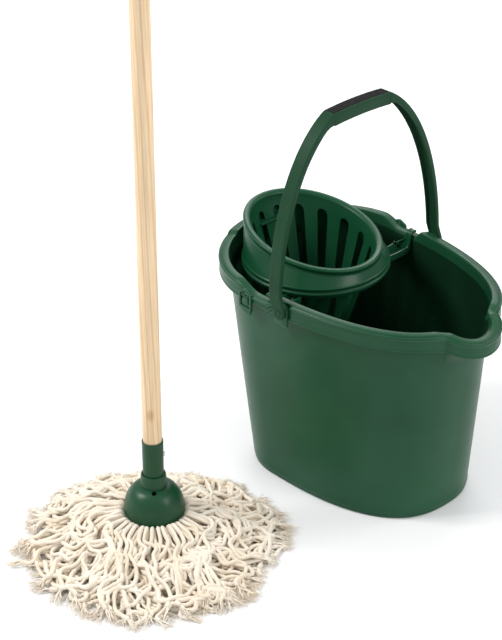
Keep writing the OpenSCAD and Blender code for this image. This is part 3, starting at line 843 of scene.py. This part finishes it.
def wringer_rim():
    """Rim, skirt and band of the wringer, one closed turned shell."""
    n = 260
    theta = 2 * math.pi * np.arange(n) / n

    def slanted(profile):
        return [slant_ring(d, lift, theta) for d, lift in profile]

    def level(profile):
        """Rings from (distance outside the band's radius, height above BAND_Z)."""
        return [level_ring(BAND_X, BAND_R + out, BAND_Z + up, theta) for out, up in profile]

    outer_top, in_top = slanted([(1.6, -6.5), (1.6 + WALL, -6.5)])
    outer_low, in_low = level([(-1.4, 10.2), (-1.4 - WALL, 10.2)])
    rings = slanted([(9.9, -7.5), (9.6, -4.5), (8.9, -1.9), (8.2, -0.7), (7.4, -0.1), (6.2, 0.3), (4.6, 0.7),
                     (3.2, 0.95), (2.0, 0.85), (1.0, 0.45), (0.4, -0.2), (0.05, -1.1), (0.0, -2.0),
                     (0.2, -2.8), (0.65, -3.3), (0.95, -3.9), (1.2, -4.9)])
    rings += [outer_top * (1 - k) + outer_low * k for k in (0, 0.15, 0.35, 0.55, 0.75, 0.9, 1)]
    rings += level([(-1.0, 9.4), (-0.2, 9.0), (0, 8.3), (0, 7.0), (-0.3, 6.3), (-1.5, 5.6), (-1.6, 4.0),
                    (-1.2, 3.3), (0.3, 2.8), (0.75, 2.2), (0.75, 0.8), (0.3, 0.1), (-1.6, -0.5), (-2.0, -1.0),
                    (-2.0, -3.2), (-2.5, -4.0), (-4.0, -4.0), (-4.4, -3.4)])
    rings += [in_low, (in_low + in_top) / 2, in_top]
    rings += slanted([(2.4 + WALL, -3.6), (6.5, -2.6), (7.4, -3.4), (7.7, -7.5)])
    last = (len(rings) - 1) * n
    quads = ring_quads(len(rings), n).tolist()
    quads += [[last + i, last + (i + 1) % n, (i + 1) % n, i] for i in range(n)]
    ob = add_mesh("wringer_rim", np.concatenate(rings), quads, GREEN_BASKET)
    weld(ob.data)
    return ob


def wringer_arms():
    """On each side a bent channel from the band's foot to the rim's notch and over it, and the rear lug."""
    made = []
    path = smooth_line([(73.5, 235.4), (98, 235.4), (106, 235.9), (110.6, 238.3), (112.8, 243), (113.9, 249),
                        (114.9, 254.6), (116.2, 258.6), (118.0, 260.5), (120.4, 260.9), (122.6, 260.2)], 4)
    last = len(path) - 1
    for sgn, tag in SIDES:
        rings = []
        for i, (y, z) in enumerate(path):
            t = path[min(last, i + 1)] - path[max(0, i - 1)]
            t /= np.linalg.norm(t)
            s = i / last
            front_rib = 8.0 - 5.2 * float(bend((s - 0.25) / 0.3))
            swell = math.sin(min(1.0, s / 0.30) * math.pi / 2) * (1 - float(bend((s - 0.3) / 0.2)))
            rear_rib = 8.0 + 5.5 * swell - 5.2 * float(bend((s - 0.3) / 0.3))
            front, back = ARM_FRONT, ARM_BACK + 9.5 * float(bend((s - 0.42) / 0.16))
            section = [(front, 0), (front, front_rib), (front - ARM_T, front_rib), (front - ARM_T, ARM_T),
                       (back + ARM_T, ARM_T), (back + ARM_T, rear_rib), (back, rear_rib), (back, 0)]
            rings.append([(x, sgn * (y - t[1] * w), z + t[0] * w) for x, w in section])
        ob = loft("wringer_arm_" + tag, rings, GREEN_BASKET)
        bevel_edges(ob, 0.5, 40)
        made.append(auto_smooth(ob, 45))
    # rest at the back, on the rim's raised part
    lug = rounded_polygon([(-181, -17), (-150, -22), (-150, 22), (-181, 17)], 5)
    return made + [plate("wringer_lug", [lug], 3, 0.8, GREEN_BASKET, lambda u, v, w: (u, v, H + 5 + w))]


# ------------------------------------------------------------------ mop
POLE_R, POLE_FOOT, POLE_TOP, POLE_ROUND = 11.1, 88.0, 1288.0, 5.0


def mop_hardware():
    """Pole, sleeve and dome, and the looks of the small parts kept from the CAD."""
    shoulder = POLE_TOP - POLE_ROUND
    profile = [(0, POLE_FOOT), (POLE_R - 0.6, POLE_FOOT), (POLE_R, POLE_FOOT + 0.8)]
    profile += [(POLE_R, POLE_FOOT + (shoulder - POLE_FOOT) * k / 12) for k in range(1, 13)]
    profile += [(POLE_R + POLE_ROUND * (math.cos(a) - 1), shoulder + POLE_ROUND * math.sin(a))
                for a in np.linspace(0.2, math.pi / 2, 8)]
    place(lathe("pole_wood", profile + [(0, POLE_TOP)], MOP, PINE, 96), "mop_handle", ["pole"])
    sleeve = rounded([(0, 55.6), (12.0, 55.6), (12.05, 58), (12.3, 82), (12.5, 125.0), (12.5, 127.2),
                      (11.6, 127.7), (11.15, 126.6), (11.15, 104)], 0.5)
    place(lathe("pole_sleeve", sleeve, MOP, DOME), "mop_handle", ["sleeve"])
    for name, mat in (("sleeve_screw", STEEL), ("yarn_plate", DOME), ("plate_screws", STEEL)):
        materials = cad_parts[name].data.materials
        materials.clear()
        materials.append(mat)
    place(socket_dome(), "mop_head", ["socket"])


def socket_dome():
    """Neck and dome as one shell, with soft flutes and the vent hole cut through."""
    profile = rounded([(12.55, 80.3), (13.1, 82.0), (14.2, 82.0), (14.8, 80.2), (15.7, 68.6), (15.75, 66.8),
                       (15.3, 66.2)], 0.7)
    profile += [(15.6 + 20.2 * math.cos(e) ** 0.92, 31 + 34.6 * math.sin(e) ** 1.12)
                for e in np.radians(np.linspace(84, 4, 24))]
    profile += [(35.8, 30), (35.7, 28.2), (35.2, 25.5), (34.6, 24.1), (33.6, 24.0), (32.9, 24.8)]
    profile += [(32.7, 29), (31.5, 38), (27, 47), (20, 52), (6, 52), (6, 21), (2, 20.6), (1.6, 22), (0, 30)]
    count = 192
    t = 2 * math.pi * np.arange(count) / count
    front = math.atan2(-0.68, 0.73)
    rings = []
    for r, z in profile:
        rr = np.full(count, r)
        if 29 < z < 64 and r > 16.5:
            for off in (-0.62, 0.62, 1.9, -1.9, math.pi):
                d = np.angle(np.exp(1j * (t - front - off)))
                rr = rr + 0.7 * math.sin(math.pi * (z - 29) / 35) * np.exp(-(d / 0.26) ** 2)
        rings.append(np.column_stack([rr * np.cos(t), rr * np.sin(t), np.full(count, z)]) + MOP)
    ob = add_mesh("socket_dome", np.concatenate(rings), ring_quads(len(rings), count).tolist(), DOME)
    cut = lathe("vent_cut", [(0, 50), (2.9, 50), (2.9, 66), (0, 66)], MOP + [14.6, -11.9, 0], DOME, 40)
    modifier(ob, "BOOLEAN", operation="DIFFERENCE", object=cut, solver="EXACT")
    bake_modifiers(ob)
    bpy.data.objects.remove(cut)
    return auto_smooth(ob, 40)


# ------------------------------------------------------------------ yarn
RIGHT = np.array([0.679, 0.734])      # in plan, to the viewer's right
TOWARD = np.array([0.734, -0.679])     # in plan, towards the viewer
HANKS, BUNDLES, LAYERS, PER_LAYER = 12, 12, 7, 40
STRAND_R = 2.45
STEP = 2.0                            # between the points of a strand
START_R = 24.0                        # a strand starts this far from the pole, under the dome
EDGE_SHARE = 0.925                    # strands keep inside the edge, and frayed ends reach past them
CELL, GRID = 1.5, 300                 # the height grid: size of a cell, and cells along a side
EDGE = np.array([  # the pile's edge: angle from RIGHT towards TOWARD in degrees, distance from the pole
    (-180, 148), (-165, 140), (-150, 128), (-135, 124), (-120, 118), (-100, 102), (-80, 100), (-60, 108),
    (-45, 117), (-30, 123), (-10, 142), (10, 150), (25, 152), (40, 156), (60, 166), (80, 174),
    (95, 176), (110, 170), (125, 166), (140, 162), (155, 162), (170, 156), (180, 148)], float)


def pile_edge(beta):
    """Distance from the pole that the strands keep to."""
    deg = (np.degrees(beta) + 180) % 360 - 180
    return np.interp(deg, EDGE[:, 0], EDGE[:, 1]) * EDGE_SHARE


def mound(r, edge):
    """Top of the heap: highest beside the dome, low at the edge."""
    k = np.clip((r - 40) / np.maximum(edge - 40, 1), 0, 1)
    return 6 + 37 * bend((r - 25) / 11) * (1 - 0.80 * k ** 0.75)


class Heights:
    """Height of the yarn laid so far, on a square grid round the pole."""
    def __init__(self):
        self.h = np.zeros((GRID, GRID))

    def cell(self, p):
        return np.clip(((p + GRID * CELL / 2) / CELL).astype(int), 0, GRID - 1)

    def sample(self, p):
        c = self.cell(p)
        return self.h[c[:, 0], c[:, 1]]

    def add(self, p, z, r):
        reach = int(r / CELL) + 1
        c = self.cell(p)
        for dx in range(-reach, reach + 1):
            for dy in range(-reach, reach + 1):
                near = np.clip(c + [dx, dy], 0, GRID - 1)
                d2 = (((near + 0.5) * CELL - GRID * CELL / 2 - p) ** 2).sum(axis=1)
                ok = d2 < r * r
                top = z + np.sqrt(np.maximum(r * r - d2, 0))
                np.maximum.at(self.h, (near[ok, 0], near[ok, 1]), top[ok])


class Drift:
    """A smooth random heading over the floor, from six waves."""
    def __init__(self, g, size):
        self.k = g.normal(0, 1, (6, 2)) / size
        self.ph = g.uniform(0, 2 * math.pi, 6)

    def at(self, p):
        return float(np.sin(self.k @ p + self.ph).sum()) / math.sqrt(3)


def bundle_waves(g):
    """Bends that the strands of one bundle share: wave number, phase and height."""
    return [(2 * math.pi / g.uniform(a, b), g.uniform(0, 2 * math.pi), amp)
            for a, b, amp in ((28, 40, 0.40), (46, 70, 0.62), (85, 130, 0.50))]


def heading(a):
    return np.array([math.cos(a), math.sin(a)])


def turn_between(a, b):
    """The shorter turn from heading a to heading b."""
    return math.atan2(math.sin(b - a), math.cos(b - a))


def strand_path(g, beta0, length, swirl, lag, bundle, crimp, bent, reach):
    """Plan line of one strand in (right, toward) millimetres, starting under the dome."""
    p = heading(beta0) * START_R
    head = beta0
    out = [p]
    waves = [(k, ph + g.normal(0, 0.30), amp * crimp) for k, ph, amp in bundle["shared"]]
    waves.append((2 * math.pi / g.uniform(22, 32), g.uniform(0, 2 * math.pi), 0.13 * crimp))
    for i in range(int(length / STEP)):
        s = i * STEP
        r = math.hypot(*p)
        beta = math.atan2(p[1], p[0])
        edge = float(pile_edge(beta))
        if r > edge * reach:
            break
        grow = float(bend((s - lag) / 60))
        free = float(bend((s - 14) / 34))
        want = beta0 + swirl * grow + (0.62 * bundle["drift"].at(p) + 0.55 * bundle["local"].at(p)) * grow
        want += free * sum(a * math.sin(k * s + ph) for k, ph, a in waves)
        over = (r - edge * 0.90) / (edge * 0.14)
        if over > 0:
            # near the edge a strand turns along it
            side = 1.0 if math.sin(want - beta) >= 0 else -1.0
            along = beta + side * (math.pi / 2 + min(0.7, 0.5 * over))
            want += turn_between(want, along) * min(1.0, over) * bent
        head += max(-0.34, min(0.34, turn_between(head, want) * 0.5))
        p = p + STEP * heading(head)
        out.append(p)
    return np.array(out)


def smoothed(z, weights):
    return np.convolve(np.pad(z, len(weights) // 2, mode="edge"), weights, "valid")


def lay(path, heights, share, r):
    """Height of a strand that rests on what is already there."""
    rr = np.hypot(path[:, 0], path[:, 1])
    edge = pile_edge(np.arctan2(path[:, 1], path[:, 0]))
    t = np.gradient(path, axis=0)
    t /= np.linalg.norm(t, axis=1)[:, None] + 1e-9
    side = np.stack([-t[:, 1], t[:, 0]], -1)
    under = np.maximum.reduce([heights.sample(path + side * o) for o in (-1.3, 0, 1.3)])
    top = mound(rr, edge)
    z = np.maximum(under, (top - 9) * share) + r * 0.8
    # packed yarn gives way: what would stand above the heap sinks into it
    z = np.where(z > top, top + 3.6 * np.tanh((z - top) / 9.0), z)
    kern = np.exp(-0.5 * (np.arange(-5, 6) / 1.9) ** 2)
    z = smoothed(np.maximum(z, r * 0.95), kern / kern.sum())
    # out from between plate and dome, under the lip
    lip = 20.5 + np.clip(rr - 34.6, 0, 60) * 5.0
    low = 17.0 + 4 * share
    z = np.where(rr < 37, np.minimum(z, low), np.minimum(z, np.maximum(lip, r)))
    return np.maximum(smoothed(z, [0.1, 0.2, 0.4, 0.2, 0.1]), r * 1.32)


def frames(points):
    """Two unit directions across a 3-D line, without twist."""
    t = np.gradient(points, axis=0)
    t /= np.linalg.norm(t, axis=1)[:, None] + 1e-12
    a = np.cross(t, [0, 0, 1.0])
    bad = np.linalg.norm(a, axis=1) < 0.1
    a[bad] = np.cross(t[bad], [1.0, 0, 0])
    a /= np.linalg.norm(a, axis=1)[:, None]
    return a, np.cross(a, t)


class Tubes:
    """Collects many tubes into one mesh."""
    def __init__(self):
        self.v, self.q, self.uv, self.n, self.tri = [], [], [], 0, []

    def add(self, pts, radius, sides, lobes=0, depth=0.0, pitch=16.0, phase=0.0):
        """A tube along pts whose lobes turn once in each pitch, with UVs that follow the turn."""
        k = len(pts)
        radius = np.broadcast_to(radius, (k,))
        a, b = frames(pts)
        arc = np.concatenate([[0], np.cumsum(np.linalg.norm(np.diff(pts, axis=0), axis=1))])
        ang = 2 * math.pi * np.arange(sides) / sides
        spin = arc[:, None] / pitch * 2 * math.pi + phase
        rad = radius[:, None] * (1 + (depth * np.cos(lobes * (ang[None] - spin)) if lobes else 0))
        ca, sa = np.cos(ang)[None] * rad, np.sin(ang)[None] * rad
        p = pts[:, None] + ca[..., None] * a[:, None] + sa[..., None] * b[:, None]
        self.v.append(p.reshape(-1, 3))
        self.q.append(ring_quads(k, sides, offset=self.n))
        i = np.arange(sides)
        u0, u1 = np.tile(i / sides, k - 1), np.tile((i + 1) / sides, k - 1)
        w0, w1 = np.repeat(arc[:-1] * MM, sides), np.repeat(arc[1:] * MM, sides)
        lean = 1 / (pitch * MM)
        corners = ((u0, w0), (u1, w0), (u1, w1), (u0, w1))
        uv = np.stack([np.stack([u - w * lean, w], -1) for u, w in corners], 1)
        self.uv.append(uv.reshape(-1, 2))
        # each end is closed by a fan round its middle
        for c, ring in enumerate((k - 1, 0)):
            self.v.append(pts[ring][None])
            idx = self.n + ring * sides
            fan = np.stack([idx + i, idx + (i + 1) % sides, np.full(sides, self.n + k * sides + c)], -1)
            self.tri.append(fan if ring else fan[:, ::-1])
        self.n += k * sides + 2

    def build(self, name, mat):
        quads, tris = np.concatenate(self.q), np.concatenate(self.tri)
        loops = np.concatenate([quads.ravel(), tris.ravel()])
        sizes = np.concatenate([np.full(len(quads), 4), np.full(len(tris), 3)])
        uv = np.concatenate([np.concatenate(self.uv), np.zeros((len(tris) * 3, 2))])
        me = bpy.data.meshes.new(name)
        fill_mesh(me, np.concatenate(self.v) * MM, loops, sizes)
        return finish_mesh(name, me, mat, uv=uv)


def to_world(xy, z):
    """From (right, toward) round the pole to the frame."""
    p = MOP[None, :2] + xy[:, :1] * RIGHT + xy[:, 1:2] * TOWARD
    return np.column_stack([p, z])


def fibre(g, start, ang, length, bow, z0, z1, count, low=0.5):
    """A short curved line of count points over the floor, at least low above it."""
    k = np.linspace(0, 1, count)
    a = ang + bow * k + 0.25 * np.sin(k * 6 + g.uniform(0, 6))
    steps = np.stack([np.cos(a), np.sin(a)], -1)[:-1] * length / (count - 1)
    xy = start + np.concatenate([[[0, 0]], np.cumsum(steps, axis=0)])
    return to_world(xy, np.maximum(z0 + (z1 - z0) * k + g.uniform(0, 1.6) * np.sin(k * math.pi), low))


def fray(g, tubes, end, head, z, spread):
    """The unravelled end of a strand: three plies and a brush of loose fibres."""
    for k in range(3):
        length = g.uniform(10, 20)
        ang = head + (k - 1) * g.uniform(0.1, 0.3) * spread
        ply = fibre(g, end, ang, length, g.normal(0, 0.5), z, max(1.4, z * 0.4), 8, 1.4)
        tubes.add(ply, np.linspace(1.25, 0.6, 8), 6, 2, 0.12, 7, g.uniform(0, 6))
        tip = end + heading(ang) * length * 0.55
        for _ in range(5):
            loose = fibre(g, tip, ang + g.normal(0, 0.34) * spread, g.uniform(7, 19), g.normal(0, 0.7),
                          max(1.2, z * 0.6), g.uniform(0.4, 4.5), 6)
            tubes.add(loose, np.linspace(0.42, 0.16, 6), 4)


def yarn():
    """Strands in layers, each in a bundle that drifts and bends together, collected in hanks by direction."""
    g = np.random.default_rng(21)
    heights = Heights()
    hanks = [Tubes() for _ in range(HANKS)]
    drifts = [Drift(g, 42.0) for _ in range(5)]
    for layer in range(LAYERS):
        cuts = np.sort(g.uniform(0, 2 * math.pi, BUNDLES - 1))
        bundles = [dict(swirl=float(g.choice([-1, -1, -1, -1, 1])) * g.uniform(0.35, 1.25),
                        drift=drifts[g.integers(0, 5)], lag=g.uniform(8, 40), local=Drift(g, 34.0),
                        shared=bundle_waves(g)) for _ in range(BUNDLES)]
        for j in range(PER_LAYER):
            beta = 2 * math.pi * (j + 0.37 * layer) / PER_LAYER + g.normal(0, 0.03)
            bundle = bundles[int(np.searchsorted(cuts, beta % (2 * math.pi)))]
            length = float(pile_edge(beta)) * g.uniform(1.08, 1.55) + (16 if layer > 3 else 0)
            path = strand_path(g, beta, length, bundle["swirl"] + g.normal(0, 0.07),
                               bundle["lag"] + g.normal(0, 3), bundle, g.uniform(0.75, 1.15),
                               g.choice([0.2, 0.6, 0.8]), g.uniform(0.96, 1.10))
            z = lay(path, heights, (layer + 0.5) / LAYERS, STRAND_R)
            heights.add(path, z, STRAND_R)
            pts = to_world(path, z)
            # a strand belongs to the hank that it leaves the dome with
            leaving = pts[8] - MOP
            around = math.degrees(math.atan2(leaving[1], leaving[0])) % 360
            hank = hanks[int(around // (360 / HANKS)) % HANKS]
            n = len(pts)
            rad = STRAND_R * g.uniform(0.9, 1.08) * (1 + 0.06 * np.sin(np.arange(n) * 0.35 + g.uniform(0, 6)))
            hank.add(pts, rad, 12, 3, 0.14, 13.0, g.uniform(0, 6))
            d = path[-1] - path[-3]
            fray(g, hank, path[-1] - d * 0.6, math.atan2(d[1], d[0]), float(z[-1]), g.uniform(0.6, 1.7))
            # loose fibres along the strand
            for q in g.integers(12, n - 2, 3):
                side = math.atan2(*(path[q + 1] - path[q])[::-1]) + g.choice([-1, 1]) * g.uniform(0.3, 1.0)
                hair = fibre(g, path[q], side, g.uniform(6, 14), g.normal(0, 0.9), z[q] + STRAND_R * 0.7,
                             z[q] + g.uniform(0, 4), 5)
                hank.add(hair, np.linspace(0.26, 0.12, 5), 4)
    for k, tubes in enumerate(hanks):
        ob = tubes.build(f"hank_{k + 1:02d}", COTTON)
        place(ob, "mop_head", [f"yarn_{k + 1:02d}"])


# ------------------------------------------------------------------ build the object
place(bucket_shell(), "bucket", ["bucket"])
for ob in ears():
    place(ob, "bucket")
place(bail_strap(), "bail", ["bail"])
for ob in bail_studs():
    place(ob, "bail")
place(bail_pad(), "bail", ["bail_grip"])
place(wringer_basket(), "wringer", ["wringer"])
place(wringer_rim(), "wringer")
for ob in wringer_arms():
    place(ob, "wringer")
mop_hardware()
yarn()


# ------------------------------------------------------------------ floor, light, camera
def area(name, at, target, size, power):
    """A round lamp at a place, pointed at a target, both in metres."""
    light = bpy.data.lights.new(name, "AREA")
    light.shape = "DISK"
    light.size = size
    light.energy = power
    ob = bpy.data.objects.new(name, light)
    ob.location = at
    ob.rotation_euler = (Vector(target) - Vector(at)).to_track_quat("-Z", "Y").to_euler()
    scene.collection.objects.link(ob)


def stage():
    m, nt = new_material("pale_floor")
    cloud = noise(nt, coords(nt), 3.0, 2.0)
    surface(m, {"Base Color": ramp(nt, cloud, [(0.3, (0.86, 0.86, 0.865)), (0.7, 0.88)]),
                "Roughness": 0.7, "Specular IOR Level": 0.2})
    far, under = 40000, -0.05
    corners = [(-far, -far, under), (far, -far, under), (far, far, under), (-far, far, under)]
    add_mesh("floor", corners, [[0, 1, 2, 3]], m, smooth=False)
    scene.world = bpy.data.worlds.new("studio")
    scene.world.use_nodes = True
    background = scene.world.node_tree.nodes["Background"]
    background.inputs["Color"].default_value = (0.97, 0.98, 1.0, 1)
    background.inputs["Strength"].default_value = 0.62
    area("key", (-1.3, -1.7, 2.3), (0, -0.1, 0.1), 1.1, 62)
    area("fill", (2.3, 0.5, 1.6), (0, 0, 0.15), 1.2, 26)
    area("back", (-2.2, 2.4, 2.4), (-2.4, 2.6, 0), 2.6, 95)
    area("side", (1.7, 2.9, 2.2), (1.0, 2.6, 0), 1.8, 40)
    cam = bpy.data.cameras.new("camera")
    cam.lens = 112.5
    cam.sensor_width = 36
    cam.clip_end = 50
    ob = bpy.data.objects.new("camera", cam)
    ob.location = (1.4434, -1.5129, 1.3997)
    ob.rotation_euler = (math.radians(90 - 30.02), 0, math.radians(47.21))
    scene.collection.objects.link(ob)
    scene.camera = ob
    scene.view_settings.view_transform = "Standard"


stage()
